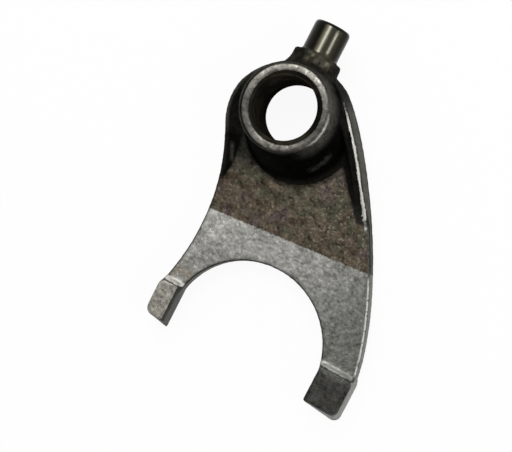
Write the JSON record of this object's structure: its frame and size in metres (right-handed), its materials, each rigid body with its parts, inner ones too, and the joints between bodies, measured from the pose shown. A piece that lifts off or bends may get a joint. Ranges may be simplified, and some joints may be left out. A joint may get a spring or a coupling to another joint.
{
  "type": "transmission shift fork",
  "caption": "Cast steel shift fork with a shaft boss, edge ribs, a U-shaped jaw between ground pads and a turned guide pin; it slides a gear along its shaft.",
  "frame": {"origin": "on the bore axis at the back end of the boss, in the plane that the part rests on", "axes": "+Z along the bore from the back to the front face, +Y along the guide pin away from the jaw, +X towards the wider pad"},
  "size_m": [0.0463, 0.0657, 0.014],
  "materials": {
    "cast_steel": "as-cast brown grey web, blasted light grey prongs, ground pads, dark boss walls, turned pin"
  },
  "bodies": {
    "root": {"shift_fork": "cast_steel"}
  },
  "joints": []
}
